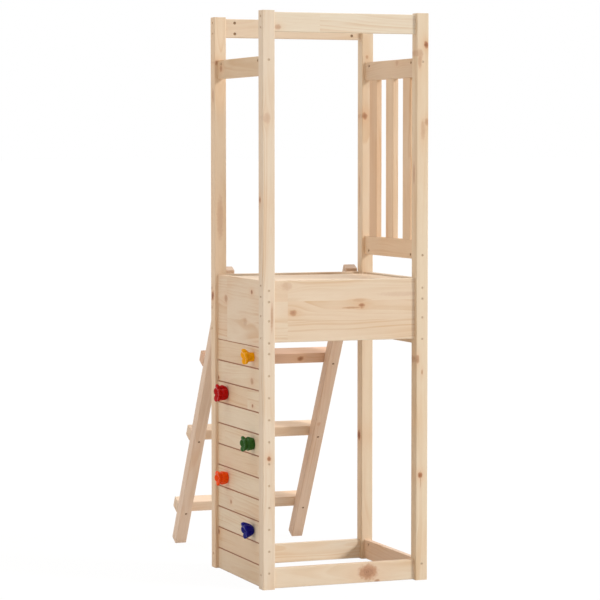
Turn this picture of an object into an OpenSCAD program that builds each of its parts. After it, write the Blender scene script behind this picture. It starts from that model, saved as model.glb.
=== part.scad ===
// Wooden climbing frame: a tower on four posts with a deck, a climbing wall with plastic holds on the left,
// a slatted guard on the right and a leaning ladder behind.
// The origin is on the ground under the middle of the whole frame. +X is right, +Y is back, +Z is up.

/* [Tower] */
// Width over the posts, left to right
tower_w = 600; // [540:1:720]
// Depth over the posts, front to back
tower_d = 531; // [490:1:640]
// Height of the posts
post_h = 1935; // [1880:1:2200]
// Side of the square posts
post_w = 43; // [38:0.5:50]
// Radius on the long edges of the posts and the ladder bars
bar_edge_r = 3; // [1:0.5:5]

/* [Rails and panels] */
// Thickness of every rail, board and panel
board_t = 20; // [17:0.5:24]
// Height of the rails
rail_h = 65.5; // [56:0.5:80]
// Radius on the long edges of the rails, panels and slats
board_edge_r = 2.5; // [1:0.5:4]
// Drop of the top rails below the post tops
top_rail_drop = 5; // [0:0.5:20]
// Drop of the upper side rails below the post tops
upper_rail_drop = 150; // [110:0.5:250]
// Rise of the lower guard rail above the deck rim
lower_rail_rise = 63.5; // [40:0.5:100]
// Gap between the base rails and the ground
base_gap = 2; // [1:0.5:6]
// Drop of the base rails' top edges below the lowest wall board's
base_rail_drop = 3.5; // [0:0.5:6]

/* [Guard slats] */
// Number of slats in the guard
slat_n = 3; // [2:1:3]
// Width of a slat
slat_w = 66; // [50:0.5:80]
// Gap between a post and the nearest slat
slat_end_gap = 40.5; // [25:0.5:60]
// Diameter of the dowels in the slat ends
dowel_d = 8; // [6:0.5:10]
// Depth of a dowel in the rail, and the same in the slat
dowel_reach = 18; // [12:0.5:24]

/* [Deck] */
// Height of the deck rim, the top of the four panels
rim_z = 1037; // [1010:1:1100]
// Rise of the front and back panels above the under edges of the side panels
panel_lift = 18.5; // [16:0.5:30]
// Drop of the floor below the deck rim
floor_drop = 6; // [5:0.5:30]
// Number of floor boards
floor_n = 6; // [5:1:6]
// Gap round and between the floor boards
floor_gap = 2; // [1:0.5:5]
// Height of the floor bearers
bearer_h = 67; // [60:0.5:80]
// Distance of the outer bearer screws from the bearer's ends
bearer_screw_inset = 70; // [60:1:90]

/* [Climbing wall] */
// Number of boards in the wall
wall_n = 11; // [10:1:11]
// Height of a wall board
wall_board_h = 73.75; // [66:0.25:75]
// Bevel on the outer edges of a wall board
wall_bevel = 2.5; // [1:0.5:4]

/* [Holds] */
// Width of a hold across its lobes
hold_w = 58; // [54:0.5:64]
// Projection of a hold from the wall
hold_out = 42; // [32:0.5:48]
// Diameter of a hold where it meets the wall
hold_foot_d = 38; // [28:0.5:40]
// Radius of a lobe on the rim of a hold
lobe_r = 11; // [8:0.5:13]
// Depth of the dish in a hold's outer face
dish_depth = 9; // [6:0.5:10]
// Width of the rim between the dish and the middles of the lobes
dish_rim = 4; // [2:0.5:6]
// Distance of the front column of holds from the front post
hold_inset_front = 85; // [60:1:120]
// Distance of the back column of holds from the back post
hold_inset_back = 92; // [60:1:120]
// Every so many boards has a hold
hold_step = 2; // [1:1:2]
// Diameter of the hold bolts
hold_bolt_d = 6; // [5:0.5:7]
// Diameter of a hold bolt's head
hold_head_d = 11; // [10:0.5:13]
// Height of a hold bolt's head
hold_head_h = 4; // [3:0.5:6]
// Thickness of a hold between its bolt head and the wall
hold_web = 16; // [12:0.5:18]
// Diameter of the flange of the nut behind a hold
tee_flange_d = 19; // [16:0.5:24]
// Thickness of that flange
tee_flange_t = 1.5; // [1:0.5:3]
// Diameter of the nut's barrel in the board
tee_barrel_d = 9; // [8.5:0.5:11]
// Length of the nut's barrel in the board
tee_barrel_l = 8; // [6:0.5:12]

/* [Ladder] */
// Lean of the ladder from upright, in degrees
ladder_lean = 28.3; // [24:0.1:32]
// Side of the square stringers
stringer_w = 43; // [38:0.5:50]
// Side of the square rungs
rung_w = 43; // [38:0.5:50]
// Number of rungs
rung_n = 3; // [2:1:3]
// Distance along a stringer from its foot to the middle of the first rung
rung_first = 133; // [90:1:180]
// Distance along a stringer between the middles of two rungs
rung_pitch = 325; // [260:0.5:340]
// Gap between the ladder and each back post
ladder_side_gap = 1.5; // [1:0.5:6]
// Height of the upright seat that bears on the back panel
ladder_seat = 21; // [14:0.5:32]
// Rise of a stringer's seat above the deck rim
ladder_head_rise = 11; // [2:0.5:20]

/* [Fasteners] */
// Diameter of the rail bolts
bolt_d = 6; // [5:0.5:7]
// Diameter of a rail bolt's head
bolt_head_d = 9; // [8:0.5:11]
// Height of a rail bolt's head
bolt_head_h = 4; // [3:0.5:6]
// Distance of a rail bolt from the rail's edge
bolt_edge = 14; // [12:0.5:18]
// Drop of the front and back base rails' bolts below the lowest wall screws, which cross them in the posts
base_bolt_drop = 6.5; // [6:0.5:10]
// Drop of the same bolts below the right base rail's, which cross them too
bolt_cross_drop = 7.5; // [7:0.5:10]
// Diameter of the barrel nuts
barrel_d = 10; // [9:0.5:12]
// Length of the barrel nuts
barrel_l = 14; // [10:0.5:15]
// Distance of a barrel nut from the rail's end
barrel_inset = 36; // [26:0.5:45]
// Diameter of the wood screws
screw_d = 4.5; // [4:0.5:5]
// Diameter of a wood screw's head
screw_head_d = 8.5; // [7.5:0.5:9]
// Height of a wood screw's head
screw_head_h = 3.5; // [2.5:0.5:5]
// Length of a rail bolt past its barrel nut
bolt_tip = 2; // [1:0.5:5]
// Depth of a screw in the end of a board
screw_reach = 35; // [25:0.5:45]
// Depth of a screw in a rung
rung_screw_reach = 32; // [20:0.5:35]
// Depth of a screw in the face of a panel or the edge of a bearer
face_screw_reach = 15; // [12:0.5:16]
// Depth of the bolt and screw heads below the face of a post or stringer
head_sink = 1.5; // [1:0.5:6]
// Drop of the wall screws below each board's top edge
wall_screw_drop = 18.5; // [18.5:0.5:24]
// Drop of the front panel's first screws below the deck rim
panel_screw_drop = 16; // [9:0.5:16]
// Distance between the two upper screws of a panel
panel_screw_gap = 37.5; // [34:0.5:44]
// Share of the way from a panel's second screw to its last where the third is
panel_screw_share = 0.465; // [0.4:0.005:0.55]
// Rise of the front panel's last screws above its under edge
panel_screw_rise = 16; // [13:0.5:20]
// Drop of the side panels' screws, which cross the front and back panels' screws in the posts
screw_cross_drop = 17; // [14:0.5:19]
// Extra drop of the back panel's two upper screws, well below the ladder's screws
back_screw_drop = 33; // [30:0.5:35]
// Clearance between a fastener and its hole, all round
fit = 0.1; // [0.05:0.05:0.3]

/* [Hidden] */
// Facets of round shapes
$fn = 48;
// How far a cutting shape runs past the surface that it cuts
over = 1;
pine = [0.89, 0.79, 0.66];
steel = [0.62, 0.62, 0.64];

// Rails, boards and panels are centred on the posts, but the back panel is flush with the posts' back faces
recess = (post_w - board_t) / 2;
clear_w = tower_w - 2 * post_w;
clear_d = tower_d - 2 * post_w;
function panel_y(back) = back == 1 ? tower_d - board_t : recess;

// Heights
top_rail_z = post_h - top_rail_drop - rail_h;
upper_rail_z = post_h - upper_rail_drop - rail_h;
lower_rail_z = rim_z + lower_rail_rise;
wall_h = wall_n * wall_board_h;
front_panel_z = wall_h + panel_lift;
floor_z = rim_z - floor_drop - board_t;
bearer_z = floor_z - bearer_h;
base_rail_h = wall_board_h - base_rail_drop - base_gap;

// The ladder leans on the back panel and stands on the front edges of its feet
seat_y = tower_d;
foot_y = seat_y + (rim_z - ladder_seat) * tan(ladder_lean);
head_z = rim_z + ladder_head_rise;
stringer_l = (foot_y - seat_y) * sin(ladder_lean) + head_z * cos(ladder_lean);
ladder_x = post_w + ladder_side_gap;
ladder_w = tower_w - 2 * ladder_x;
stringer_xs = [ladder_x, ladder_x + ladder_w - stringer_w];
rung_steps = [for (i = [0 : rung_n - 1]) rung_first + i * rung_pitch];
rung_screw_l = stringer_w - head_sink + rung_screw_reach;

// The screws in the ladder's head run level from the stringers' back faces into the back panel
head_screw_z = rim_z - ladder_seat / 2;
head_screw_y = foot_y - head_screw_z * tan(ladder_lean) + stringer_w / cos(ladder_lean);
head_screw_sink = head_sink + screw_head_d / 2 * tan(ladder_lean);
head_screw_l = head_screw_y - head_screw_sink - seat_y + face_screw_reach;

// The middle of the whole frame, from the holds to the right posts and from the front to the ladder's foot
mid_x = (tower_w + recess - hold_out) / 2;
mid_y = (foot_y + stringer_w * cos(ladder_lean)) / 2;

// Heights of the bolts in the ends of the rails
top_bolts = [top_rail_z + bolt_edge, top_rail_z + rail_h - bolt_edge];
upper_bolts = [upper_rail_z + rail_h - bolt_edge];
lower_bolts = [lower_rail_z + bolt_edge];
base_bolts = [wall_board_h - wall_screw_drop - base_bolt_drop];
right_base_bolts = [for (z = base_bolts) z + bolt_cross_drop];
cross_bolts = concat(top_bolts, base_bolts);
function side_bolts(right) = right == 1 ? concat(upper_bolts, lower_bolts, right_base_bolts) : upper_bolts;

// Heights of the screws in the ends of the panels and wall boards
front_first_z = rim_z - panel_screw_drop;
front_second_z = front_first_z - panel_screw_gap;
front_last_z = front_panel_z + panel_screw_rise;
front_third_z = front_second_z - panel_screw_share * (front_second_z - front_last_z);
front_screws = [front_first_z, front_second_z, front_third_z, front_last_z];
back_first_z = front_first_z - back_screw_drop;
back_second_z = front_second_z - back_screw_drop;
back_screws = [back_first_z, back_second_z, front_third_z, front_last_z];
panel_side_screws = [for (z = front_screws) z - screw_cross_drop];
wall_screw_zs = [for (i = [1 : wall_n]) i * wall_board_h - wall_screw_drop];
function cross_screws(back) = back == 1 ? back_screws : front_screws;
function side_screws(right) = right == 1 ? panel_side_screws : concat(panel_side_screws, wall_screw_zs);

// Bolts and screws run from a post's outer face through the post and into the end of a rail or board
bolt_l = post_w - head_sink + barrel_inset + barrel_d / 2 + bolt_tip;
screw_l = post_w - head_sink + screw_reach;

// Screws through one board into the face or edge of the next
board_screw_l = board_t + face_screw_reach;

// The holds from the top: name, colour, the column that each is in, and its turn on the wall in degrees
HOLDS = [
    ["yellow", [0.90, 0.58, 0.04], "front", 0],
    ["red", [0.68, 0.02, 0.02], "back", 8],
    ["green", [0.10, 0.33, 0.13], "front", 36],
    ["orange", [0.92, 0.24, 0.03], "back", 28],
    ["blue", [0.05, 0.06, 0.45], "front", 18]];
lobe_n = 5;
function hold_y(i) = HOLDS[i][2] == "front" ? post_w + hold_inset_front : tower_d - post_w - hold_inset_back;
function hold_z(i) = wall_h - hold_step * i * wall_board_h - wall_board_h / 2;

// Floor boards and guard slats, counted from the front
floor_board_w = (clear_d - (floor_n + 1) * floor_gap) / floor_n;
function floor_y(i) = post_w + i * floor_gap + (i - 1) * floor_board_w;
slat_pitch = (clear_d - 2 * slat_end_gap - slat_w) / (slat_n - 1);
function slat_y(i) = post_w + slat_end_gap + slat_w / 2 + (i - 1) * slat_pitch;
bearer_screw_ys = [post_w + bearer_screw_inset, tower_d / 2, tower_d - post_w - bearer_screw_inset];

// Moves the tower's front left corner to its place about the origin
module placed() {
    translate([-mid_x, -mid_y, 0]) children();
}

// A rectangle from the origin with rounded corners
module eased(w, h, r) {
    translate([r, 0]) square([w - 2 * r, h]);
    translate([0, r]) square([w, h - 2 * r]);
    for (x = [r, w - r], y = [r, h - r]) translate([x, y]) circle(r);
}

// Bars from the origin along X, Y or Z with rounded long edges
module bar_x(l, d, h, r) {
    rotate([90, 0, 90]) linear_extrude(l) eased(d, h, r);
}

module bar_y(w, l, h, r) {
    translate([0, l, 0]) rotate([90, 0, 0]) linear_extrude(l) eased(w, h, r);
}

module bar_z(w, d, l, r) {
    linear_extrude(l) eased(w, d, r);
}

// Turns what is drawn along +Z so that it runs along another axis
module along(way) {
    if (way == "+x") rotate([0, 90, 0]) children();
    if (way == "-x") rotate([0, -90, 0]) children();
    if (way == "+y") rotate([-90, 0, 0]) children();
    if (way == "-y") rotate([90, 0, 0]) children();
    if (way == "-z") rotate([180, 0, 0]) children();
}

// A headed fastener along +Z with a six-sided socket, driven into the face Z = 0 and sunk below it
module headed(d, l, head_d, head_h, sink) {
    translate([0, 0, sink]) difference() {
        union() {
            cylinder(d = head_d, h = head_h);
            cylinder(d = d, h = l);
        }
        translate([0, 0, -over]) cylinder(d = head_d / 2, h = over + head_h * 0.6, $fn = 6);
    }
}

// The hole for it, with room all round
module headed_hole(d, l, head_d, head_h, sink) {
    translate([0, 0, -over]) cylinder(d = head_d + 2 * fit, h = over + sink + head_h);
    cylinder(d = d + 2 * fit, h = sink + l + fit);
}

module rail_bolt() {
    headed(bolt_d, bolt_l, bolt_head_d, bolt_head_h, head_sink);
}

module rail_bolt_hole() {
    headed_hole(bolt_d, bolt_l, bolt_head_d, bolt_head_h, head_sink);
}

module wood_screw(l, sink) {
    headed(screw_d, l, screw_head_d, screw_head_h, sink);
}

module wood_screw_hole(l, sink) {
    headed_hole(screw_d, l, screw_head_d, screw_head_h, sink);
}

// Places on the outer faces of the posts at both ends of a rail across the tower, or along its side
module at_cross_ends(y, zs) {
    for (z = zs) {
        translate([0, y, z]) along("+x") children();
        translate([tower_w, y, z]) along("-x") children();
    }
}

module at_side_ends(x, zs) {
    for (z = zs) {
        translate([x, 0, z]) along("+y") children();
        translate([x, tower_d, z]) along("-y") children();
    }
}

// Places of the barrel nuts in the same rails: Z is a nut's axis, towards its open side, and Y its bolt's
module at_cross_barrels(back, zs, side) {
    y = back * (tower_d - post_w) + post_w / 2;
    for (x = [post_w + barrel_inset, tower_w - post_w - barrel_inset], z = zs) {
        translate([x, y, z]) along(side) rotate(90) children();
    }
}

module at_side_barrels(right, zs) {
    x = right * (tower_w - post_w) + post_w / 2;
    for (y = [post_w + barrel_inset, tower_d - post_w - barrel_inset], z = zs) {
        translate([x, y, z]) along("-x") children();
    }
}

module barrel_hole() {
    depth = barrel_l / 2 + fit;
    translate([0, 0, -depth]) cylinder(d = barrel_d + 2 * fit, h = depth + board_t / 2 + over);
}

module barrel_nut() {
    difference() {
        translate([0, 0, -barrel_l / 2]) cylinder(d = barrel_d, h = barrel_l);
        translate([0, -barrel_d, 0]) along("+y") cylinder(d = bolt_d + 2 * fit, h = 2 * barrel_d);
    }
}

// A post on the left or right, 0 or 1, and at the front or back, 0 or 1, bored for all that meets it
module tower_post(right, back) {
    x = right * (tower_w - post_w);
    y = back * (tower_d - post_w);
    color(pine) placed() difference() {
        translate([x, y, 0]) bar_z(post_w, post_w, post_h, bar_edge_r);
        at_cross_ends(y + post_w / 2, cross_bolts) rail_bolt_hole();
        at_cross_ends(panel_y(back) + board_t / 2, cross_screws(back)) wood_screw_hole(screw_l, head_sink);
        at_side_ends(x + post_w / 2, side_bolts(right)) rail_bolt_hole();
        at_side_ends(x + post_w / 2, side_screws(right)) wood_screw_hole(screw_l, head_sink);
    }
}

// A rail across the front or back, with barrel nuts that open to one side
module cross_rail(back, z, h, bolts, side) {
    y = back * (tower_d - post_w) + recess;
    color(pine) placed() difference() {
        translate([post_w, y, z]) bar_x(clear_w, board_t, h, board_edge_r);
        at_cross_ends(y + board_t / 2, bolts) rail_bolt_hole();
        at_cross_barrels(back, bolts, side) barrel_hole();
    }
}

// A rail along the left or right side, with barrel nuts that open to the left
module side_rail(right, z, h, bolts) {
    x = right * (tower_w - post_w) + recess;
    color(pine) placed() difference() {
        translate([x, post_w, z]) bar_y(board_t, clear_d, h, board_edge_r);
        at_side_ends(x + board_t / 2, bolts) rail_bolt_hole();
        at_side_barrels(right, bolts) barrel_hole();
        at_slat_ends() dowel(fit);
    }
}

// Guard slats stand on dowels between the two right rails
module at_slat_ends() {
    for (i = [1 : slat_n], z = [lower_rail_z + rail_h, upper_rail_z]) {
        translate([tower_w - post_w / 2, slat_y(i), z]) children();
    }
}

module dowel(room) {
    translate([0, 0, -dowel_reach - room]) cylinder(d = dowel_d + 2 * room, h = 2 * (dowel_reach + room));
}

module guard_slat(i) {
    z = lower_rail_z + rail_h;
    color(pine) placed() difference() {
        translate([tower_w - post_w + recess, slat_y(i) - slat_w / 2, z])
            bar_z(board_t, slat_w, upper_rail_z - z, board_edge_r);
        at_slat_ends() dowel(fit);
    }
}

module slat_dowels() {
    color(pine) placed() at_slat_ends() dowel(0);
}

// Deck panels
module cross_panel(back) {
    y = panel_y(back);
    color(pine) placed() difference() {
        translate([post_w, y, front_panel_z]) bar_x(clear_w, board_t, rim_z - front_panel_z, board_edge_r);
        at_cross_ends(y + board_t / 2, cross_screws(back)) wood_screw_hole(screw_l, head_sink);
        at_ladder_head() wood_screw_hole(head_screw_l, head_screw_sink);
    }
}

module side_panel(right) {
    x = right * (tower_w - post_w) + recess;
    color(pine) placed() difference() {
        translate([x, post_w, wall_h]) bar_y(board_t, clear_d, rim_z - wall_h, board_edge_r);
        at_side_ends(x + board_t / 2, panel_side_screws) wood_screw_hole(screw_l, head_sink);
        at_bearer_screws(right) wood_screw_hole(board_screw_l, 0);
    }
}

// Floor bearers on the inner faces of the side panels, and the floor boards across them
module at_bearer_screws(right) {
    x = right == 1 ? tower_w - recess - 2 * board_t : recess + 2 * board_t;
    for (y = bearer_screw_ys) {
        translate([x, y, bearer_z + bearer_h / 2]) along(right == 1 ? "+x" : "-x") children();
    }
}

module floor_bearer(right) {
    x = right == 1 ? tower_w - recess - 2 * board_t : recess + board_t;
    color(pine) placed() difference() {
        translate([x, post_w, bearer_z]) bar_y(board_t, clear_d, bearer_h, board_edge_r);
        at_bearer_screws(right) wood_screw_hole(board_screw_l, 0);
        for (i = [1 : floor_n]) at_floor_screws(i) wood_screw_hole(board_screw_l, 0);
    }
}

module at_floor_screws(i) {
    for (x = [recess + 1.5 * board_t, tower_w - recess - 1.5 * board_t], t = [0.25, 0.75]) {
        translate([x, floor_y(i) + t * floor_board_w, floor_z + board_t]) along("-z") children();
    }
}

module floor_board(i) {
    x = recess + board_t + floor_gap;
    color(pine) placed() difference() {
        translate([x, floor_y(i), floor_z]) bar_x(tower_w - 2 * x, floor_board_w, board_t, board_edge_r);
        at_floor_screws(i) wood_screw_hole(board_screw_l, 0);
    }
}

module floor_screws() {
    color(steel) placed() for (i = [1 : floor_n]) at_floor_screws(i) wood_screw(board_screw_l, 0);
}

module bearer_screws() {
    color(steel) placed() for (right = [0, 1]) at_bearer_screws(right) wood_screw(board_screw_l, 0);
}

// A wall board, counted from the ground, with bevelled outer edges
module wall_board(i) {
    b = wall_bevel;
    h = wall_board_h;
    color(pine) placed() difference() {
        translate([recess, post_w + clear_d, (i - 1) * h]) rotate([90, 0, 0]) linear_extrude(clear_d)
            polygon([[0, b], [b, 0], [board_t, 0], [board_t, h], [b, h], [0, h - b]]);
        at_side_ends(post_w / 2, [wall_screw_zs[i - 1]]) wood_screw_hole(screw_l, head_sink);
        at_holds() hold_bolt_hole();
    }
}

// Holds are drawn with their foot on the wall at Z = 0 and their outer end at +Z
module at_hold(i) {
    translate([recess, hold_y(i), hold_z(i)]) along("-x") children();
}

module at_holds() {
    for (i = [0 : len(HOLDS) - 1]) at_hold(i) children();
}

module hold_bolt_hole() {
    translate([0, 0, -board_t - over]) cylinder(d = hold_bolt_d + 2 * fit, h = board_t + hold_web + 2 * over);
    translate([0, 0, -board_t - over]) cylinder(d = tee_barrel_d + 2 * fit, h = over + tee_barrel_l + fit);
}

// A hold: a foot that widens to a thick head with lobes round a dished face, and its bolt sunk in the middle
module hold(i) {
    rim_r = hold_w / 2 - lobe_r;
    head_d = hold_w - lobe_r;
    lobe_z = hold_out - lobe_r;
    dish_edge = rim_r - dish_rim;
    dish_r = (dish_edge * dish_edge + dish_depth * dish_depth) / (2 * dish_depth);
    color(HOLDS[i][1]) placed() at_hold(i) difference() {
        union() {
            cylinder(d1 = hold_foot_d, d2 = head_d, h = lobe_z);
            translate([0, 0, lobe_z]) cylinder(d = head_d, h = lobe_r / 2);
            for (k = [1 : lobe_n]) {
                rotate(HOLDS[i][3] + k * 360 / lobe_n) translate([rim_r, 0, lobe_z]) sphere(lobe_r);
            }
        }
        translate([0, 0, hold_out - dish_depth + dish_r]) sphere(dish_r);
        translate([0, 0, hold_web]) cylinder(d = hold_head_d + 2 * fit, h = hold_out);
        hold_bolt_hole();
    }
}

module hold_bolts() {
    l = hold_head_h + hold_web + board_t + tee_flange_t;
    color(steel) placed() at_holds() translate([0, 0, hold_web + hold_head_h]) along("-z")
        headed(hold_bolt_d, l, hold_head_d, hold_head_h, 0);
}

module hold_nuts() {
    color(steel) placed() at_holds() translate([0, 0, -board_t - tee_flange_t]) difference() {
        union() {
            cylinder(d = tee_flange_d, h = tee_flange_t);
            cylinder(d = tee_barrel_d, h = tee_flange_t + tee_barrel_l);
        }
        translate([0, 0, -over])
            cylinder(d = hold_bolt_d + 2 * fit, h = tee_flange_t + tee_barrel_l + 2 * over);
    }
}

// The ladder's own frame: +Z up a stringer from its foot, Y = 0 on the stringers' front faces
module on_ladder() {
    translate([0, foot_y, 0]) rotate([ladder_lean, 0, 0]) children();
}

module at_rung_screws() {
    for (x = stringer_xs, u = rung_steps) {
        on_ladder() translate([x + stringer_w / 2, 0, u]) along("+y") children();
    }
}

module at_ladder_head() {
    for (x = stringer_xs) translate([x + stringer_w / 2, head_screw_y, head_screw_z]) along("-y") children();
}

// A stringer with its upright seat; the screw in its head is sunk from the leaning back face
module ladder_stringer(right) {
    w = stringer_w;
    color(pine) placed() difference() {
        on_ladder() translate([stringer_xs[right], 0, 0]) bar_z(w, w, stringer_l, bar_edge_r);
        translate([0, seat_y - w, head_z - 2 * w]) cube([tower_w, w, 4 * w]);
        at_rung_screws() wood_screw_hole(rung_screw_l, head_sink);
        at_ladder_head() wood_screw_hole(head_screw_l, head_screw_sink);
        at_ladder_head() translate([0, 0, -w]) cylinder(d = screw_head_d + 2 * fit, h = w);
    }
}

module ladder_rung(i) {
    color(pine) placed() difference() {
        on_ladder() translate([ladder_x, stringer_w, rung_steps[i - 1] - rung_w / 2])
            bar_x(ladder_w, rung_w, rung_w, bar_edge_r);
        at_rung_screws() wood_screw_hole(rung_screw_l, head_sink);
    }
}

module rung_screws() {
    color(steel) placed() at_rung_screws() wood_screw(rung_screw_l, head_sink);
}

module ladder_head_screws() {
    color(steel) placed() at_ladder_head() wood_screw(head_screw_l, head_screw_sink);
}

// Fasteners of the tower
module rail_bolts() {
    color(steel) placed() {
        for (y = [post_w / 2, tower_d - post_w / 2]) at_cross_ends(y, cross_bolts) rail_bolt();
        at_side_ends(post_w / 2, side_bolts(0)) rail_bolt();
        at_side_ends(tower_w - post_w / 2, side_bolts(1)) rail_bolt();
    }
}

module barrel_nuts() {
    color(steel) placed() {
        at_cross_barrels(0, cross_bolts, "+y") barrel_nut();
        at_cross_barrels(1, top_bolts, "-y") barrel_nut();
        at_cross_barrels(1, base_bolts, "+y") barrel_nut();
        for (right = [0, 1]) at_side_barrels(right, side_bolts(right)) barrel_nut();
    }
}

module panel_screws() {
    color(steel) placed() {
        for (back = [0, 1]) {
            at_cross_ends(panel_y(back) + board_t / 2, cross_screws(back)) wood_screw(screw_l, head_sink);
        }
        for (x = [post_w / 2, tower_w - post_w / 2]) {
            at_side_ends(x, panel_side_screws) wood_screw(screw_l, head_sink);
        }
    }
}

module wall_screws() {
    color(steel) placed() at_side_ends(post_w / 2, wall_screw_zs) wood_screw(screw_l, head_sink);
}

tower_post(0, 0);  // post_front_left
tower_post(1, 0);  // post_front_right
tower_post(0, 1);  // post_back_left
tower_post(1, 1);  // post_back_right
cross_rail(0, top_rail_z, rail_h, top_bolts, "+y");  // top_rail_front
cross_rail(1, top_rail_z, rail_h, top_bolts, "-y");  // top_rail_back
side_rail(0, upper_rail_z, rail_h, upper_bolts);  // upper_rail_left
side_rail(1, upper_rail_z, rail_h, upper_bolts);  // upper_rail_right
side_rail(1, lower_rail_z, rail_h, lower_bolts);  // lower_rail_right
for (i = [1 : slat_n]) guard_slat(i);
cross_panel(0);  // panel_front
cross_panel(1);  // panel_back
side_panel(0);  // panel_left
side_panel(1);  // panel_right
floor_bearer(0);  // floor_bearer_left
floor_bearer(1);  // floor_bearer_right
for (i = [1 : floor_n]) floor_board(i);
for (i = [1 : wall_n]) wall_board(i);
cross_rail(0, base_gap, base_rail_h, base_bolts, "+y");  // base_rail_front
cross_rail(1, base_gap, base_rail_h, base_bolts, "+y");  // base_rail_back
side_rail(1, base_gap, base_rail_h, right_base_bolts);  // base_rail_right
ladder_stringer(0);  // ladder_stringer_left
ladder_stringer(1);  // ladder_stringer_right
for (i = [1 : rung_n]) ladder_rung(i);
for (i = [0 : len(HOLDS) - 1]) hold(i);
hold_bolts();
hold_nuts();
rail_bolts();
barrel_nuts();
panel_screws();
wall_screws();
rung_screws();
ladder_head_screws();
floor_screws();
bearer_screws();
slat_dowels();
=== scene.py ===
"""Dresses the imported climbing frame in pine, plated steel and moulded plastic, on a white studio floor."""
import math

import bmesh
import bpy
from mathutils import Euler, Matrix, Vector


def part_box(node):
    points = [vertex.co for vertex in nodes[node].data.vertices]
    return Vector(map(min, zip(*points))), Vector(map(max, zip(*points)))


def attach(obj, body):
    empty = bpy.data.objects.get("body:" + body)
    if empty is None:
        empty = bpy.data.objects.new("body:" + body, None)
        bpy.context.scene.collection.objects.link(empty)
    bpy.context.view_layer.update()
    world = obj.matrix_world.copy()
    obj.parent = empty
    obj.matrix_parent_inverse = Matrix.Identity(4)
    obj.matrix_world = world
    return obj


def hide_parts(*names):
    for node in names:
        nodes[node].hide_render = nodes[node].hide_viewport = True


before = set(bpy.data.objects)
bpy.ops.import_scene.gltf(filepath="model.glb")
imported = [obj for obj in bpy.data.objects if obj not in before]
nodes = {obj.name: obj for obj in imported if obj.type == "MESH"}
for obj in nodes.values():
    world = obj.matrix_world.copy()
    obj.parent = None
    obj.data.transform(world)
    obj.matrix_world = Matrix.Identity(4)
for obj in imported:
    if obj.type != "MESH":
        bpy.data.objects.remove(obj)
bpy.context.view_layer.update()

# Sizes in metres. The tower's own zero is the front left corner of its front left post, on the ground.
MM = 0.001
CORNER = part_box("post_front_left")[0]
LADDER_LEAN = math.radians(28.3)
WALL_BOARDS = 11
BOARDS_PER_HOLD = 2
HOLD_INSET_FRONT = 85 * MM
HOLD_INSET_BACK = 92 * MM
HOLD_OUT = 42 * MM

# The camera, from a fit to the corners of the four posts
IMAGE_PX = 600
FOCAL_PX = 2517.77
SENSOR_MM = 36
CAMERA_AT = Vector((-2.878536, -7.849723, 1.466072))
CAMERA_YAW = math.radians(20.9844)
CAMERA_PITCH = math.radians(3.3664)
CAMERA_REACH = 1000


def put(tree, kind, inputs=None, **settings):
    """Adds a node, sets its settings, and sets or links its inputs."""
    made = tree.nodes.new(kind)
    for name, value in settings.items():
        setattr(made, name, value)
    for name, value in (inputs or {}).items():
        if isinstance(value, bpy.types.NodeSocket):
            tree.links.new(value, made.inputs[name])
        else:
            made.inputs[name].default_value = value
    return made


def calc(tree, operation, *values):
    """One Math node, from values or sockets."""
    return put(tree, "ShaderNodeMath", dict(enumerate(values)), operation=operation).outputs[0]


def vector(tree, operation, *values):
    """One Vector Math node that gives a vector."""
    return put(tree, "ShaderNodeVectorMath", dict(enumerate(values)), operation=operation).outputs[0]


def scaled(tree, value, factor):
    """A vector times a number."""
    return put(tree, "ShaderNodeVectorMath", {0: value, "Scale": factor}, operation="SCALE").outputs[0]


def dot(tree, a, b):
    """The dot product of two vectors."""
    return put(tree, "ShaderNodeVectorMath", {0: a, 1: b}, operation="DOT_PRODUCT").outputs["Value"]


def combine(tree, *values):
    """A vector from its X, Y and Z, where what isn't given is 0."""
    return put(tree, "ShaderNodeCombineXYZ", dict(enumerate(values))).outputs[0]


def separate(tree, value):
    """The X, Y and Z of a vector."""
    return put(tree, "ShaderNodeSeparateXYZ", {0: value}).outputs


def square_sum(tree, a, b):
    """One number squared plus another squared."""
    return calc(tree, "ADD", calc(tree, "MULTIPLY", a, a), calc(tree, "MULTIPLY", b, b))


def about_zero(tree, value):
    """A value from 0 to 1, moved to lie from -0.5 to 0.5."""
    return calc(tree, "SUBTRACT", value, 0.5)


def ramp(tree, value, low, high):
    """0 at low, 1 at high, smooth between."""
    inputs = {"Value": value, "From Min": low, "From Max": high}
    return put(tree, "ShaderNodeMapRange", inputs, interpolation_type="SMOOTHSTEP").outputs["Result"]


def fade(tree, value, low, high):
    """1 at low, 0 at high, smooth between."""
    return calc(tree, "SUBTRACT", 1.0, ramp(tree, value, low, high))


def mix(tree, share, a, b, blend="MIX"):
    """One colour Mix node. Its colours go into sockets 6 and 7, and come out of socket 2."""
    return put(tree, "ShaderNodeMix", {0: share, 6: a, 7: b}, data_type="RGBA", blend_type=blend).outputs[2]


def noise(tree, at, scale=1.0, detail=2.0, roughness=0.5):
    """Smooth noise from 0 to 1."""
    inputs = {"Vector": at, "Scale": scale, "Detail": detail, "Roughness": roughness}
    return put(tree, "ShaderNodeTexNoise", inputs).outputs["Fac"]


def chances(tree, at):
    """A random value and a random colour for each place."""
    return put(tree, "ShaderNodeTexWhiteNoise", {"Vector": at}, noise_dimensions="3D").outputs


def add_bump(tree, shader, height, strength, distance):
    """Gives a surface fine relief."""
    bump = put(tree, "ShaderNodeBump", {"Strength": strength, "Distance": distance, "Height": height})
    tree.links.new(bump.outputs["Normal"], shader.inputs["Normal"])


def new_material(name):
    """A new material, its node tree and its shader."""
    material = bpy.data.materials.new(name)
    material.use_nodes = True
    return material, material.node_tree, material.node_tree.nodes["Principled BSDF"]


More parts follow.
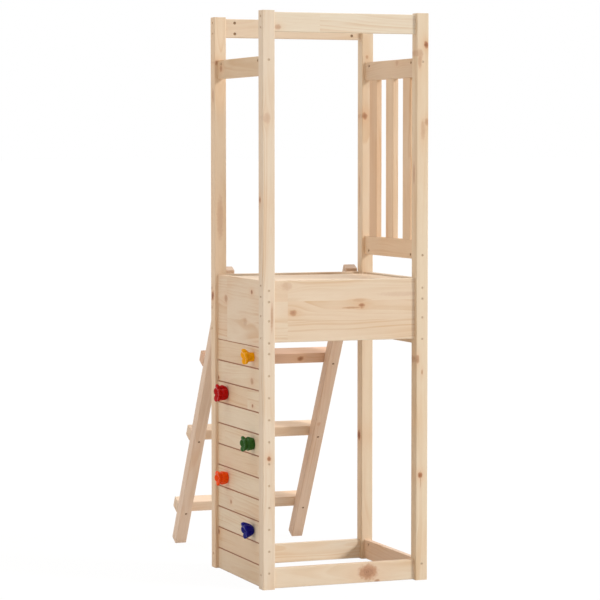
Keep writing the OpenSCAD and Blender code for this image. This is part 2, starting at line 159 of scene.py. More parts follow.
def new_group(name, inputs, outputs):
    """An empty node group with the named sockets, and its input and output nodes."""
    tree = bpy.data.node_groups.new(name, "ShaderNodeTree")
    for socket, kind in inputs:
        tree.interface.new_socket(socket, in_out="INPUT", socket_type=kind)
    for socket, kind in outputs:
        tree.interface.new_socket(socket, in_out="OUTPUT", socket_type=kind)
    return tree, tree.nodes.new("NodeGroupInput").outputs, tree.nodes.new("NodeGroupOutput").inputs


def dress(name, material):
    """Gives a node one material in place of its own."""
    nodes[name].data.materials.clear()
    nodes[name].data.materials.append(material)


def linear(r, g, b):
    """A linear colour from display values of 0 to 255, by the sRGB curve."""
    channels = [c / 255 for c in (r, g, b)]
    return [c / 12.92 if c <= 0.04045 else ((c + 0.055) / 1.055) ** 2.4 for c in channels] + [1.0]


FLOAT = "NodeSocketFloat"
VECTOR = "NodeSocketVector"
COLOUR = "NodeSocketColor"
ALONG_GRAIN = (1.0, 0.0, 0.0)
WHITE = (1.0, 1.0, 1.0)

# A knot: its width as a share of its length, how ragged its edge is, and the scale of that
KNOT_OVAL = 0.78
KNOT_RAGGED = 0.7
RAGGED_SCALE = 95.0
# From where to where its body and its dark heart fade out, as shares of its size, and the rings in the heart
CORE_FADE = (0.55, 1.1)
HEART_FADE = (0.05, 0.8)
HEART_RINGS = 21.0
HEART_RING_DEPTH = 0.25
# How fast the halo round it falls off along and across the grain, and how it pushes the grain aside
HALO_FALL_ALONG = 0.34
HALO_FALL_ACROSS = 0.55
PUSH_STEEPNESS = 2.0
PUSH_REACH = 0.8


def knot_group():
    """One knot, a branch that runs through a board: how dark each point is, and the grain it pushes aside.

    Across is square to the grain, in the face where the knot shows. Stretch draws it out along the grain.
    """
    inputs = [("Local", VECTOR), ("Centre", VECTOR), ("Across", VECTOR), ("Size", FLOAT), ("Stretch", FLOAT)]
    outputs = [("Local", VECTOR), ("Core", FLOAT), ("Heart", FLOAT), ("Halo", FLOAT)]
    tree, given, result = new_group("knot", inputs, outputs)
    offset = vector(tree, "SUBTRACT", given["Local"], given["Centre"])
    reach = calc(tree, "MULTIPLY", given["Size"], given["Stretch"])
    along = calc(tree, "DIVIDE", dot(tree, offset, ALONG_GRAIN), reach)
    across = calc(tree, "DIVIDE", dot(tree, offset, given["Across"]), given["Size"])
    square = square_sum(tree, calc(tree, "MULTIPLY", along, KNOT_OVAL), across)
    wobble = about_zero(tree, noise(tree, given["Local"], RAGGED_SCALE))
    away = calc(tree, "MULTIPLY_ADD", wobble, KNOT_RAGGED, calc(tree, "SQRT", square))
    tree.links.new(fade(tree, away, *CORE_FADE), result["Core"])
    rings = calc(tree, "SINE", calc(tree, "MULTIPLY", away, HEART_RINGS))
    shade = calc(tree, "MULTIPLY_ADD", rings, HEART_RING_DEPTH, 1 - HEART_RING_DEPTH)
    tree.links.new(calc(tree, "MULTIPLY", fade(tree, away, *HEART_FADE), shade), result["Heart"])
    halo_along = calc(tree, "MULTIPLY", along, HALO_FALL_ALONG)
    halo_across = calc(tree, "MULTIPLY", across, HALO_FALL_ACROSS)
    fall = square_sum(tree, halo_along, halo_across)
    near = calc(tree, "EXPONENT", calc(tree, "MULTIPLY", fall, -1.0))
    tree.links.new(near, result["Halo"])
    side = calc(tree, "TANH", calc(tree, "MULTIPLY", across, PUSH_STEEPNESS))
    furthest = calc(tree, "MULTIPLY", given["Size"], PUSH_REACH)
    push = calc(tree, "MULTIPLY", calc(tree, "MULTIPLY", side, near), furthest)
    pushed = vector(tree, "SUBTRACT", given["Local"], scaled(tree, given["Across"], push))
    tree.links.new(pushed, result["Local"])
    return tree


# How far apart in the noise the pieces of a board may be cut
TREE_SPREAD = 40.0
# Growth rings: their width, how wide a band across the board their heart may lie in, how far under the
# board's middle it lies at the least and how much further at the most, and how much it leans along the board
RING_WIDTH = 9.5 * MM
HEART_BAND = 160 * MM
HEART_UNDER = 20 * MM
HEART_FURTHER = 50 * MM
HEART_LEAN = 0.08
# How far the rings drift, how unevenly they are spaced, and the scales of both
RING_DRIFT = 50 * MM
DRIFT_SCALE = (1.7, 9.0, 9.0)
RING_UNEVEN = 3.0
UNEVEN_SCALE = 60.0
# Late wood comes in slowly over a year and stops short. It is bolder in some patches and in some years.
LATE_RISE = (0.15, 0.82)
LATE_STOP = (0.84, 1.0)
BOLD_PATCH = (0.28, 0.75)
BOLD_LEAST = 0.10
BOLD_VARIES = 0.62
EARLY_PALE = linear(231, 216, 194)
EARLY_WARM = linear(227, 203, 176)
LATE_WOOD = linear(205, 165, 118)
# Patches of warmer wood, and broad streaks and fine fibres along the grain. Their noise: scale in each
# direction, detail and roughness. Their looks: colour, the most of it that shows, and the noise levels
# where it comes in
MARK_NOISE = {
    "patch": ((3.0, 12.0, 12.0), 2.0, 0.5),
    "streak": ((2.2, 46.0, 46.0), 3.0, 0.6),
    "fibre": ((26.0, 900.0, 900.0), 2.0, 0.6)}
MARK_LOOKS = {
    "patch": (linear(222, 185, 147), 0.42, 0.48, 0.80),
    "streak": (linear(209, 173, 135), 0.30, 0.45, 0.85),
    "fibre": (linear(205, 170, 134), 0.18, 0.40, 0.80)}
# Roughness at the least and how much fibres add, and how high late wood stands against a fibre
WOOD_ROUGHNESS = 0.44
FIBRE_ROUGHNESS = 0.22
LATE_HEIGHT = 0.35


def pine_group():
    """Planed pine in a board's own space: X along the grain, Y across the board and Z through it.

    The board is glued up from shorter pieces, Stave wide and Length long, each from another part of a tree.
    """
    inputs = [("Local", VECTOR), ("Seed", FLOAT), ("Stave", FLOAT), ("Length", FLOAT), ("Joint", FLOAT)]
    outputs = [("Color", COLOUR), ("Roughness", FLOAT), ("Height", FLOAT)]
    tree, given, result = new_group("pine", inputs, outputs)
    local = separate(tree, given["Local"])
    from_joint = calc(tree, "SUBTRACT", local[0], given["Joint"])
    piece = calc(tree, "FLOOR", calc(tree, "DIVIDE", from_joint, given["Length"]))
    stave = calc(tree, "FLOOR", calc(tree, "ADD", calc(tree, "DIVIDE", local[1], given["Stave"]), 0.5))
    chance = chances(tree, combine(tree, piece, stave, given["Seed"]))
    luck = separate(tree, chance["Color"])
    shift = scaled(tree, chance["Color"], TREE_SPREAD)
    # Growth rings round a heart that lies beside or under the board and leans a little along it
    drift = about_zero(tree, noise(tree, vector(tree, "MULTIPLY_ADD", given["Local"], DRIFT_SCALE, shift)))
    heart_y = calc(tree, "MULTIPLY", about_zero(tree, luck[0]), HEART_BAND)
    heart_z = calc(tree, "MULTIPLY_ADD", luck[1], -HEART_FURTHER, -HEART_UNDER)
    lean = calc(tree, "MULTIPLY", about_zero(tree, luck[2]), calc(tree, "MULTIPLY", local[0], HEART_LEAN))
    y = calc(tree, "SUBTRACT", local[1], heart_y)
    z = calc(tree, "SUBTRACT", local[2], heart_z)
    wander = calc(tree, "MULTIPLY_ADD", drift, RING_DRIFT, lean)
    radius = calc(tree, "ADD", calc(tree, "SQRT", square_sum(tree, y, z)), wander)
    line = combine(tree, calc(tree, "MULTIPLY", radius, UNEVEN_SCALE), given["Seed"])
    uneven = calc(tree, "MULTIPLY", noise(tree, line), RING_UNEVEN)
    ring = calc(tree, "ADD", calc(tree, "DIVIDE", radius, RING_WIDTH), uneven)
    year = combine(tree, calc(tree, "FLOOR", ring), given["Seed"], piece)
    weather = calc(tree, "MULTIPLY_ADD", chances(tree, year)["Value"], BOLD_VARIES, BOLD_LEAST)
    turn = calc(tree, "FRACT", ring)
    late = calc(tree, "MULTIPLY", ramp(tree, turn, *LATE_RISE), fade(tree, turn, *LATE_STOP))
    marks = {}
    for name, (scale, detail, coarseness) in MARK_NOISE.items():
        at = vector(tree, "MULTIPLY_ADD", given["Local"], scale, shift)
        marks[name] = noise(tree, at, 1.0, detail, coarseness)
    bold = calc(tree, "MULTIPLY", ramp(tree, marks["patch"], *BOLD_PATCH), weather)
    early = mix(tree, chance["Value"], EARLY_PALE, EARLY_WARM)
    wood = mix(tree, calc(tree, "MULTIPLY", late, bold), early, LATE_WOOD)
    for name, (colour, most, low, high) in MARK_LOOKS.items():
        share = calc(tree, "MULTIPLY", ramp(tree, marks[name], low, high), most)
        wood = mix(tree, share, wood, colour)
    roughness = calc(tree, "MULTIPLY_ADD", marks["fibre"], FIBRE_ROUGHNESS, WOOD_ROUGHNESS)
    height = calc(tree, "MULTIPLY_ADD", late, LATE_HEIGHT, marks["fibre"])
    tree.links.new(wood, result["Color"])
    tree.links.new(roughness, result["Roughness"])
    tree.links.new(height, result["Height"])
    return tree


KNOT = knot_group()
PINE = pine_group()
KNOT_SCALE = 1.3
KNOT_HEART = linear(124, 78, 50)
KNOT_COLOUR = linear(182, 124, 86)
HALO_COLOUR = linear(216, 168, 124)
HALO_SHARE = 0.5
# Painted shade in the bevel of a wall board: how far off its edge it starts and is full, its colour and its
# share
GROOVE_FROM = 3.6 * MM
GROOVE_TO = 1.2 * MM
GROOVE_SHADE_COLOUR = linear(158, 98, 66)
GROOVE_SHADE_SHARE = 0.85
WOOD_SPECULAR = 0.35
WOOD_BUMP = 0.35
WOOD_BUMP_HEIGHT = 0.5 * MM


def pine(name, axes, middle, seed, stave, length, joint, tone_and_painted_light, knots, groove):
    """The pine of one board, with its knots in its own space.

    axes are the board's grain, width and thickness directions. groove is half the height of a wall board.
    """
    material, tree, shader = new_material(name)
    turn = Matrix(axes).transposed().to_euler()
    place = put(tree, "ShaderNodeTexCoord").outputs["Object"]
    inputs = {"Vector": place, "Location": middle, "Rotation": turn}
    board = put(tree, "ShaderNodeMapping", inputs, vector_type="TEXTURE").outputs["Vector"]
    local = board
    core = 0.0
    heart = 0.0
    halo = 0.0
    for centre, across, size, stretch, depth in knots:
        inputs = {"Local": local, "Centre": centre, "Across": across, "Size": size, "Stretch": stretch}
        knot = put(tree, "ShaderNodeGroup", inputs, node_tree=KNOT).outputs
        local = knot["Local"]
        core = calc(tree, "MAXIMUM", core, calc(tree, "MULTIPLY", knot["Core"], depth))
        heart = calc(tree, "MAXIMUM", heart, calc(tree, "MULTIPLY", knot["Heart"], depth * depth))
        halo = calc(tree, "MAXIMUM", halo, calc(tree, "MULTIPLY", knot["Halo"], HALO_SHARE * depth))
    inputs = {"Local": local, "Seed": seed, "Stave": stave, "Length": length, "Joint": joint}
    wood = put(tree, "ShaderNodeGroup", inputs, node_tree=PINE).outputs
    # The board's tone, which for some boards is painted light or shade as well
    colour = mix(tree, 1.0, wood["Color"], tone_and_painted_light, "MULTIPLY")
    if knots:
        colour = mix(tree, halo, colour, HALO_COLOUR)
        colour = mix(tree, core, colour, KNOT_COLOUR)
        colour = mix(tree, heart, colour, KNOT_HEART)
    if groove:
        # Painted shade in the bevels between the wall boards, darker towards each board's edge
        height = calc(tree, "ABSOLUTE", separate(tree, board)[1])
        edge = ramp(tree, height, groove - GROOVE_FROM, groove - GROOVE_TO)
        colour = mix(tree, calc(tree, "MULTIPLY", edge, GROOVE_SHADE_SHARE), colour, GROOVE_SHADE_COLOUR)
    tree.links.new(colour, shader.inputs["Base Color"])
    tree.links.new(wood["Roughness"], shader.inputs["Roughness"])
    shader.inputs["Specular IOR Level"].default_value = WOOD_SPECULAR
    add_bump(tree, shader, wood["Height"], WOOD_BUMP, WOOD_BUMP_HEIGHT)
    return material


AXIS_X = Vector((1, 0, 0))
AXIS_Y = Vector((0, 1, 0))
AXIS_Z = Vector((0, 0, 1))
UP_LADDER = Vector((0, -math.sin(LADDER_LEAN), math.cos(LADDER_LEAN)))
UNDER_LADDER = Vector((0, -math.cos(LADDER_LEAN), -math.sin(LADDER_LEAN)))

# Knots that show in the photo: board, place in tower millimetres, the axis square to the face, size in
# millimetres and depth of colour
KNOTS = [
    ("panel_front", (112, 11, 928), AXIS_Y, 9, 0.60),
    ("panel_front", (90, 11, 1018), AXIS_Y, 13, 0.22),
    ("panel_front", (361, 11, 949), AXIS_Y, 8, 0.75),
    ("base_rail_front", (385, 11, 37), AXIS_Y, 24, 0.70),
    ("base_rail_front", (418, 11, 20), AXIS_Y, 7, 0.60),
    ("top_rail_front", (58, 11, 1880), AXIS_Y, 8, 0.45),
    ("panel_left", (11, 404, 957), AXIS_X, 12, 0.50),
    ("panel_left", (11, 140, 993), AXIS_X, 7, 0.90),
    ("panel_left", (11, 208, 888), AXIS_X, 13, 0.25),
    ("wall_board_10", (11, 139, 690), AXIS_X, 10, 0.50),
    ("wall_board_9", (11, 134, 607), AXIS_X, 6, 0.80),
    ("wall_board_4", (11, 355, 252), AXIS_X, 7, 0.65),
    ("wall_board_2", (11, 484, 130), AXIS_X, 9, 0.80),
    ("wall_board_10", (11, 484, 675), AXIS_X, 6, 0.85),
    ("post_front_left", (14, 0, 1578), AXIS_Y, 12, 0.28),
    ("post_front_left", (0, 28, 1306), AXIS_X, 8, 0.70),
    ("post_front_left", (22, 0, 442), AXIS_Y, 6, 0.90),
    ("post_front_right", (590, 0, 1829), AXIS_Y, 8, 0.95),
    ("post_front_right", (568, 0, 1800), AXIS_Y, 9, 0.35),
    ("post_front_right", (590, 0, 1567), AXIS_Y, 9, 0.45),
    ("post_front_right", (572, 0, 362), AXIS_Y, 7, 0.95),
    ("post_back_left", (0, 512, 962), AXIS_X, 11, 0.95),
    ("post_back_left", (7, 488, 1777), AXIS_Y, 6, 0.55),
    ("upper_rail_left", (11, 452, 1755), AXIS_X, 10, 0.62),
    ("post_back_right", (567, 488, 1594), AXIS_Y, 9, 0.75),
    ("post_back_right", (575, 488, 1804), AXIS_Y, 5, 0.50),
    ("post_back_right", (557, 513, 447), AXIS_X, 12, 1.0),
    ("upper_rail_right", (568, 200, 1773), AXIS_X, 9, 0.32),
    ("ladder_stringer_right", (527, 833, 455), UNDER_LADDER, 6, 0.30),
    ("ladder_rung_3", (420, 745, 709), UNDER_LADDER, 9, 0.85)]

# Streaks of redder wood along the grain, given as knots are, with their length for each millimetre of width
STREAKS = [
    ("panel_front", (327, 11, 941), AXIS_Y, 4, 8, 0.45),
    ("panel_front", (350, 11, 966), AXIS_Y, 7, 3, 0.20),
    ("panel_front", (500, 11, 984), AXIS_Y, 9, 8, 0.16),
    ("post_front_left", (32, 0, 914), AXIS_Y, 5, 9, 0.45),
    ("post_back_left", (20, 488, 1235), AXIS_Y, 14, 5, 0.28),
    ("post_back_left", (0, 505, 1661), AXIS_X, 8, 3, 0.55),
    ("post_front_right", (557, 24, 1393), AXIS_X, 9, 4, 0.45),
    ("post_front_right", (568, 0, 1775), AXIS_Y, 9, 2.5, 0.38),
    ("post_front_right", (580, 0, 1540), AXIS_Y, 10, 3, 0.30),
    ("post_front_right", (562, 0, 760), AXIS_Y, 7, 2, 0.60),
    ("post_front_right", (578, 0, 716), AXIS_Y, 4, 2, 0.55),
    ("post_front_right", (574, 0, 345), AXIS_Y, 3, 10, 0.40),
    ("post_back_right", (557, 510, 1330), AXIS_X, 7, 8, 0.40)]

# Knots of the boards that the photo hides, or shows too small: board, shares along and across, size and depth
HIDDEN_KNOTS = [
    ("panel_back", 0.22, 0.35, 11, 0.60),
    ("panel_back", -0.30, -0.20, 8, 0.75),
    ("panel_back", 0.02, -0.38, 7, 0.45),
    ("panel_right", 0.28, 0.25, 9, 0.60),
    ("panel_right", -0.20, -0.30, 12, 0.40),
    ("base_rail_back", -0.24, 0.10, 8, 0.60),
    ("base_rail_right", -0.36, -0.15, 9, 0.55),
    ("top_rail_back", 0.12, 0.18, 7, 0.50),
    ("floor_board_2", 0.25, 0.10, 8, 0.50),
    ("floor_board_4", -0.32, -0.20, 9, 0.60),
    ("floor_board_5", 0.08, 0.22, 6, 0.45),
    ("floor_bearer_left", 0.21, 0.10, 8, 0.55),
    ("floor_bearer_right", -0.27, -0.10, 9, 0.50),
    ("ladder_stringer_left", 0.68, 0.10, 8, 0.50),
    ("ladder_stringer_right", 0.68, -0.12, 7, 0.55),
    ("ladder_rung_1", 0.02, 0.15, 7, 0.50),
    ("ladder_rung_2", -0.05, -0.10, 8, 0.45)]

STEEL_NODES = [
    "rail_bolts", "barrel_nuts", "panel_screws", "wall_screws", "rung_screws", "ladder_head_screws",
    "floor_screws", "bearer_screws", "hold_bolts", "hold_nuts"]
BROWN_NODES = ["barrel_nuts", "rung_screws"]
WOOD_NODES = sorted(name for name in nodes if name not in STEEL_NODES and not name.startswith("hold_"))

# Boards that look a little lighter, darker or redder than the rest, by the start of their names
# Some of this is the wood's own tone and some is painted light or shade, as marked below
TONES_AND_PAINTED_LIGHT = {
    "top_rail_front": (1.0, 1.02, 1.03),
    "base_rail_front": (1.02, 1.05, 1.07),
    # paler as painted light, lifting the shade the tower casts on this rail
    "base_rail_back": (1.10, 1.19, 1.28),
    "base_rail_right": (1.13, 1.09, 1.12),
    "post_front_left": (1.0, 1.02, 1.05),
    "post_front_right": (1.01, 1.03, 1.01),
    "post_back_left": (1.04, 1.0, 0.95),
    "post_back_right": (1.02, 1.01, 0.98),
    "upper_rail_left": (0.91, 0.85, 0.76),
    "upper_rail_right": (0.91, 0.81, 0.73),
    "lower_rail_right": (1.05, 1.01, 0.95),
    "guard_slat": (1.0, 0.90, 0.81),
    # paler as painted light on the shaded strip of its inner face above the deck
    "panel_back": (1.06, 1.06, 1.05),
    "panel_left": (1.0, 0.96, 0.93),
    "wall_board": (1.0, 0.98, 0.94),
    "ladder_stringer_left": (1.0, 0.94, 0.96),
    # darker and redder as painted shade on its shaded lower faces
    "ladder_stringer_right": (0.86, 0.75, 0.72),
    "ladder_rung_1": (1.0, 0.94, 0.92),
    "ladder_rung_2": (1.02, 0.97, 0.95),
    # darker and redder as painted shade on its shaded front face
    "ladder_rung_3": (0.96, 0.81, 0.78)}
# Boards cut from another tree than their place in the list gives
SEEDS = {"top_rail_front": 122}

# Where a finger joint shows, along the board from its middle
JOINTS = {"top_rail_front": -92 * MM, "upper_rail_left": 155 * MM, "base_rail_back": -150 * MM}
# Boards with joints all along, each board's a step further on, and the lengths of pieces and of whole boards
JOINTED = ("panel_", "floor_board", "wall_board")
JOINT_STEP = 0.37
PIECE_LENGTH = 0.9
WHOLE_LENGTH = 2.2
# Panels are glued up from staves. Other boards are one stave, wider than any of them.
STAVE_WIDTH = 67 * MM
WHOLE_WIDTH = 1.0


def grain_axes(name):
    """A board's grain, width and thickness directions."""
    low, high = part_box(name)
    if name.startswith("ladder_stringer"):
        return [UP_LADDER, AXIS_X, UP_LADDER.cross(AXIS_X)]
    if name.startswith("ladder_rung"):
        return [AXIS_X, UP_LADDER, AXIS_X.cross(UP_LADDER)]
    sides = sorted(zip(high - low, (AXIS_X, AXIS_Y, AXIS_Z)), key=lambda side: -side[0])
    along, across = sides[0][1], sides[1][1]
    return [along, across, along.cross(across)]


def board_knots(name, axes, middle):
    """The knots of a board in its own space: centre, direction across the grain, size, stretch and depth."""
    space = Matrix(axes)
    found = []
    round_knots = [(board, at, face, KNOT_SCALE * size, 1.0, depth) for board, at, face, size, depth in KNOTS]
    for board, at, face, size, stretch, depth in STREAKS + round_knots:
        if board == name:
            centre = space @ (CORNER + Vector(at) * MM - middle)
            across = space @ axes[0].cross(face)
            found.append((centre, across, size * MM, stretch, depth))
    low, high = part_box(name)
    reach = [abs(axis.dot(high - low)) for axis in axes]
    for board, along, across, size, depth in HIDDEN_KNOTS:
        if board == name:
            centre = Vector((along * reach[0], across * reach[1], 0))
            found.append((centre, AXIS_Y, KNOT_SCALE * size * MM, 1.0, depth))
    return found


for place, name in enumerate(WOOD_NODES):
    seed = SEEDS.get(name, place)
    low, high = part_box(name)
    middle = (low + high) / 2
    axes = grain_axes(name)
    stave = STAVE_WIDTH if name.startswith("panel_") else WHOLE_WIDTH
    tone_and_painted_light = next((value for start, value in TONES_AND_PAINTED_LIGHT.items() if name.startswith(start)), WHITE)
    groove = (high.z - low.z) / 2 if name.startswith("wall_board") else None
    jointed = name in JOINTS or name.startswith(JOINTED)
    length = PIECE_LENGTH if jointed else WHOLE_LENGTH
    joint = JOINTS.get(name, PIECE_LENGTH * (JOINT_STEP * seed % 1.0) if jointed else -WHOLE_LENGTH / 2)
    knots = board_knots(name, axes, middle)
    wood = pine("pine_" + name, axes, middle, float(seed), stave, length, joint, (*tone_and_painted_light, 1.0), knots, groove)
    dress(name, wood)

# Plated steel: the scale and detail of its mottle, its least roughness, how much the mottle adds, and relief
MOTTLE_SCALE = 420.0
MOTTLE_DETAIL = 3.0
STEEL_ROUGHNESS = 0.40
MOTTLE_ROUGHNESS = 0.3
STEEL_BUMP = 0.15
STEEL_BUMP_HEIGHT = 0.2 * MM


def plated(name, dark, light):
    """Plated steel with a faint mottle."""
    material, tree, shader = new_material(name)
    place = put(tree, "ShaderNodeTexCoord").outputs["Object"]
    mottle = noise(tree, place, MOTTLE_SCALE, MOTTLE_DETAIL)
    roughness = calc(tree, "MULTIPLY_ADD", mottle, MOTTLE_ROUGHNESS, STEEL_ROUGHNESS)
    tree.links.new(mix(tree, mottle, dark, light), shader.inputs["Base Color"])
    tree.links.new(roughness, shader.inputs["Roughness"])
    shader.inputs["Metallic"].default_value = 1.0
    add_bump(tree, shader, mottle, STEEL_BUMP, STEEL_BUMP_HEIGHT)
    return material


zinc = plated("zinc_steel", linear(192, 168, 142), linear(222, 200, 174))
brown = plated("brown_steel", linear(136, 108, 84), linear(168, 140, 112))
for name in STEEL_NODES:
    dress(name, brown if name in BROWN_NODES else zinc)

# Moulded plastic: the scale of the swirl in its colour and the darkest of it as a share of the colour, the
# scale of its orange-peel surface, its least roughness and how much the peel adds, its shine and its relief
SWIRL_SCALE = 70.0
SWIRL_DARK = 0.82
PEEL_SCALE = 900.0
PLASTIC_ROUGHNESS = 0.22
PEEL_ROUGHNESS = 0.16
PLASTIC_SPECULAR = 0.12
PLASTIC_BUMP = 0.2
PLASTIC_BUMP_HEIGHT = 0.3 * MM


def plastic(name, colour):
    """Moulded plastic with a fine orange-peel surface and a slight swirl in its colour."""
    material, tree, shader = new_material("plastic_" + name)
    place = put(tree, "ShaderNodeTexCoord").outputs["Object"]
    swirl = noise(tree, place, SWIRL_SCALE)
    peel = noise(tree, place, PEEL_SCALE)
    darker = [c * SWIRL_DARK for c in colour[:3]] + [1.0]
    roughness = calc(tree, "MULTIPLY_ADD", peel, PEEL_ROUGHNESS, PLASTIC_ROUGHNESS)
    tree.links.new(mix(tree, swirl, darker, colour), shader.inputs["Base Color"])
    tree.links.new(roughness, shader.inputs["Roughness"])
    shader.inputs["Specular IOR Level"].default_value = PLASTIC_SPECULAR
    add_bump(tree, shader, peel, PLASTIC_BUMP, PLASTIC_BUMP_HEIGHT)
    return material


def in_bmesh(make):
    """A new mesh object from a function that fills a bmesh."""
    bm = bmesh.new()
    make(bm)
    mesh = bpy.data.meshes.new("shape")
    bm.to_mesh(mesh)
    bm.free()
    made = bpy.data.objects.new("shape", mesh)
    bpy.context.scene.collection.objects.link(made)
    return made


# A hold is moulded round its bolt. Its lobes differ in size; each is a share of the largest. A power under 1
# makes them round, with narrow grooves between.
LOBES = [1.0, 0.72, 0.95, 0.62, 0.86]
LOBE_STEPS = 16
LOBE_POWER = 0.7
# Rings of its head, from the back over the rim, down the bolt's recess and back through the bore: radius
# between the lobes, how far the lobes stand out, height on the lobes and how deep it dips between, all in
# millimetres, and crease
HEAD_RINGS = [
    (21.4, 6.2, 26.5, 0.5, 0), (22.0, 7.2, 33, 1.5, 0), (21.6, 7.3, 38.6, 3.5, 0), (19.6, 6.5, 41.7, 5, 0),
    (16.6, 4.6, 41.8, 5.5, 0), (13.6, 2.2, 38.5, 4.5, 0), (10.6, 0.8, 34, 2, 0), (7.8, 0, 31.4, 0.3, 0),
    (5.6, 0, 30.6, 0, 1), (5.6, 0, 16, 0, 1), (3.1, 0, 16, 0, 1), (3.1, 0, 0, 0, 1)]
# Heights of the rings of its body, between the wall and the head
BODY_HEIGHTS = [0, 3.5, 9, 15, 21]
# The height from which its outer end leans
LEAN_FROM = 21
SMOOTH_LEVELS = 2


def body_rings(foot, flare):
    """The rings of a hold's body, which widens from foot to head: early, or late where flare is high."""
    radius, reach, height = HEAD_RINGS[0][:3]
    rings = []
    for at in BODY_HEIGHTS:
        share = (at / height) ** flare
        rings.append((foot + (radius - foot) * share, reach * share, at, 0, at == 0))
    return rings


def lobe(step):
    """How much of a lobe there is, 0 to 1, at a step round the hold."""
    turn = step / LOBE_STEPS
    return LOBES[round(turn) % len(LOBES)] * abs(math.cos(math.pi * turn)) ** LOBE_POWER


def fill_hold(bm, turned, foot, flare, spread, neck, lean):
    """The faces between the rings of a hold, each ring joined to the next and the last to the first."""
    crease = bm.edges.layers.float.new("crease_edge")
    steps = LOBE_STEPS * len(LOBES)
    radius, reach, *behind_rim = HEAD_RINGS[0]
    neck_ring = (radius * neck, reach * neck, *behind_rim)
    rings = []
    for radius, reach, height, dip, sharp in body_rings(foot, flare) + [neck_ring] + HEAD_RINGS[1:]:
        ring = []
        outer = max(0, height - LEAN_FROM) / (HOLD_OUT / MM - LEAN_FROM)
        for step in range(steps):
            share = lobe(step)
            angle = math.tau * step / steps
            drop = dip * (1 - share) + lean * outer * (1 - math.sin(angle + turned)) / 2
            at = Vector((radius + reach * spread * share, 0, height - drop))
            ring.append(bm.verts.new(Matrix.Rotation(angle, 3, "Z") @ at * MM))
        rings.append(ring)
        for step in range(steps):
            bm.edges.new((ring[step - 1], ring[step]))[crease] = sharp
    for ring, following in zip(rings, rings[1:] + rings[:1]):
        for step in range(steps):
            bm.faces.new((ring[step - 1], ring[step], following[step], following[step - 1]))
    bmesh.ops.recalc_face_normals(bm, faces=bm.faces)


def hold_mesh(turned, shape):
    """One hold with its foot on Z = 0 and its outer end just under Z = HOLD_OUT."""
    made = in_bmesh(lambda bm: fill_hold(bm, turned, *shape))
    smooth = made.modifiers.new("smooth", "SUBSURF")
    smooth.levels = SMOOTH_LEVELS
    made.data = bpy.data.meshes.new_from_object(made.evaluated_get(bpy.context.evaluated_depsgraph_get()))
    made.modifiers.clear()
    outer = max(vertex.co.z for vertex in made.data.vertices)
    assert outer < HOLD_OUT, outer
    return made


# Each hold from the top: node, colour, whether it is in the front column, its turn on the wall in degrees,
# and its shape: the radius of its foot in millimetres, how late its body widens, how far its lobes spread and
# how thick its neck is, as shares of the usual, and how far its outer end leans back towards its lower edge,
# in millimetres
HOLDS = [
    ("hold_yellow", linear(252, 174, 6), True, 90, (15.5, 4.0, 1.0, 1.0, 8)),
    ("hold_red", linear(190, 0, 0), False, 90, (18, 0.4, 1.7, 0.78, 0)),
    ("hold_green", linear(50, 97, 36), True, 100, (19.5, 0.8, 0.9, 0.66, 0)),
    ("hold_orange", linear(255, 84, 4), False, 262, (19, 0.7, 0.9, 0.72, 4)),
    ("hold_blue", linear(10, 8, 124), True, 108, (11, 0.5, 1.1, 1.0, 9))]
# Turns a hold's own Z to point out of the wall, and its Y to point up
OUT_OF_WALL = Matrix(((0, 0, -1, 0), (-1, 0, 0, 0), (0, 1, 0, 0), (0, 0, 0, 1)))

wall_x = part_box("wall_board_1")[0].x
front_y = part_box("post_front_left")[1].y + HOLD_INSET_FRONT
back_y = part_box("post_back_left")[0].y - HOLD_INSET_BACK
for step, (name, colour, in_front, degrees, shape) in enumerate(HOLDS):
    low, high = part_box(f"wall_board_{WALL_BOARDS - BOARDS_PER_HOLD * step}")
    place = Matrix.Translation((wall_x, front_y if in_front else back_y, (low.z + high.z) / 2))
    turned = math.radians(degrees)
    made = hold_mesh(turned, shape)
    made.name = "moulded_" + name
    made.data.transform(place @ OUT_OF_WALL @ Matrix.Rotation(turned, 4, "Z"))
    made.data.polygons.foreach_set("use_smooth", [True] * len(made.data.polygons))
    made.data.materials.append(plastic(name, colour))
    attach(made, "root")
    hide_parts(name)


# Studio
def shown_rays(tree):
    """1 for rays that show the background itself: seen by the camera, mirrored or through glass."""
    path = put(tree, "ShaderNodeLightPath").outputs
    mirrored = calc(tree, "MAXIMUM", path["Is Glossy Ray"], path["Is Transmission Ray"])
    return calc(tree, "MAXIMUM", path["Is Camera Ray"], mirrored)


# Light: a soft key from the front right, a warm fill from the left, a broad light from above and a little
# behind, and the same light all round. Each lamp's strength, spread in degrees, direction and colour
AMBIENT = 0.26
LAMPS = [
    ("key", 1.99, 14, Vector((0.42, -0.365, 0.30)), WHITE),
    ("fill", 0.55, 40, Vector((-0.17, 0.0, 0.04)), (1.0, 0.82, 0.68)),
    ("top", 1.77, 80, Vector((0.0, 0.06, 0.56)), WHITE)]
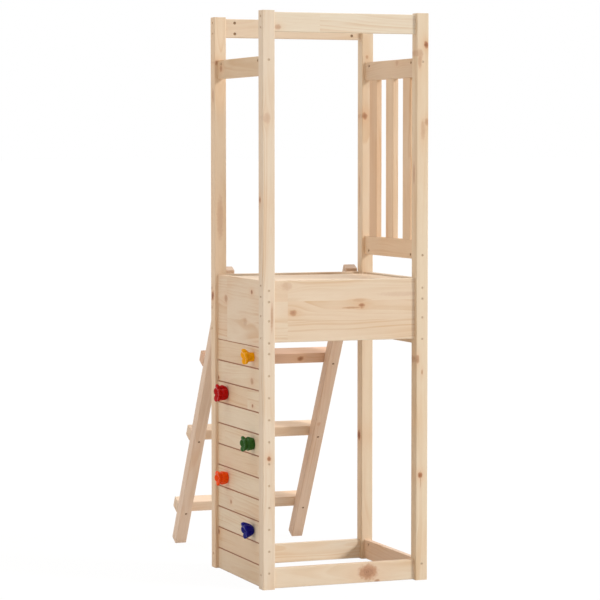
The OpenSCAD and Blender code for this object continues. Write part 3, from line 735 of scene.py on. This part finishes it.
# White paper, lifted to an even glow where it is seen. It lies just under the feet.
FLOOR_COLOUR = (0.76, 0.73, 0.69, 1)
FLOOR_LIFT = 0.92
FLOOR_GLOW = 1.03
FLOOR_SIZE = 400
FLOOR_DROP = 0.3 * MM

world = bpy.data.worlds.new("studio")
bpy.context.scene.world = world
world.use_nodes = True
sky = world.node_tree
level = calc(sky, "MULTIPLY_ADD", shown_rays(sky), 1 - AMBIENT, AMBIENT)
background = sky.nodes["Background"]
background.inputs["Color"].default_value = (*WHITE, 1)
sky.links.new(level, background.inputs["Strength"])

for name, strength, spread, towards, colour in LAMPS:
    lamp = bpy.data.objects.new(name, bpy.data.lights.new(name, "SUN"))
    lamp.data.energy = strength
    lamp.data.color = colour
    lamp.data.angle = math.radians(spread)
    lamp.rotation_euler = towards.to_track_quat("Z", "Y").to_euler()
    bpy.context.scene.collection.objects.link(lamp)


def fill_floor(bm):
    """One square under the frame."""
    lowered = Matrix.Translation((0, 0, -FLOOR_DROP))
    bmesh.ops.create_grid(bm, x_segments=1, y_segments=1, size=FLOOR_SIZE, matrix=lowered)


floor = in_bmesh(fill_floor)
floor.name = "floor"
paper, tree, shader = new_material("paper")
tree.nodes.remove(shader)
matt = put(tree, "ShaderNodeBsdfDiffuse", {"Color": FLOOR_COLOUR})
glow = put(tree, "ShaderNodeEmission", {"Color": (*WHITE, 1), "Strength": FLOOR_GLOW})
share = calc(tree, "MULTIPLY", shown_rays(tree), FLOOR_LIFT)
lifted = put(tree, "ShaderNodeMixShader", {0: share, 1: matt.outputs[0], 2: glow.outputs[0]})
tree.links.new(lifted.outputs[0], tree.nodes["Material Output"].inputs["Surface"])
floor.data.materials.append(paper)

camera = bpy.data.objects.new("camera", bpy.data.cameras.new("camera"))
camera.data.lens = FOCAL_PX * SENSOR_MM / IMAGE_PX
camera.data.sensor_width = SENSOR_MM
camera.data.clip_end = CAMERA_REACH
camera.location = CORNER + CAMERA_AT
camera.rotation_euler = Euler((math.pi / 2 - CAMERA_PITCH, 0, -CAMERA_YAW))
bpy.context.scene.collection.objects.link(camera)
bpy.context.scene.camera = camera
bpy.context.scene.view_settings.view_transform = "Standard"
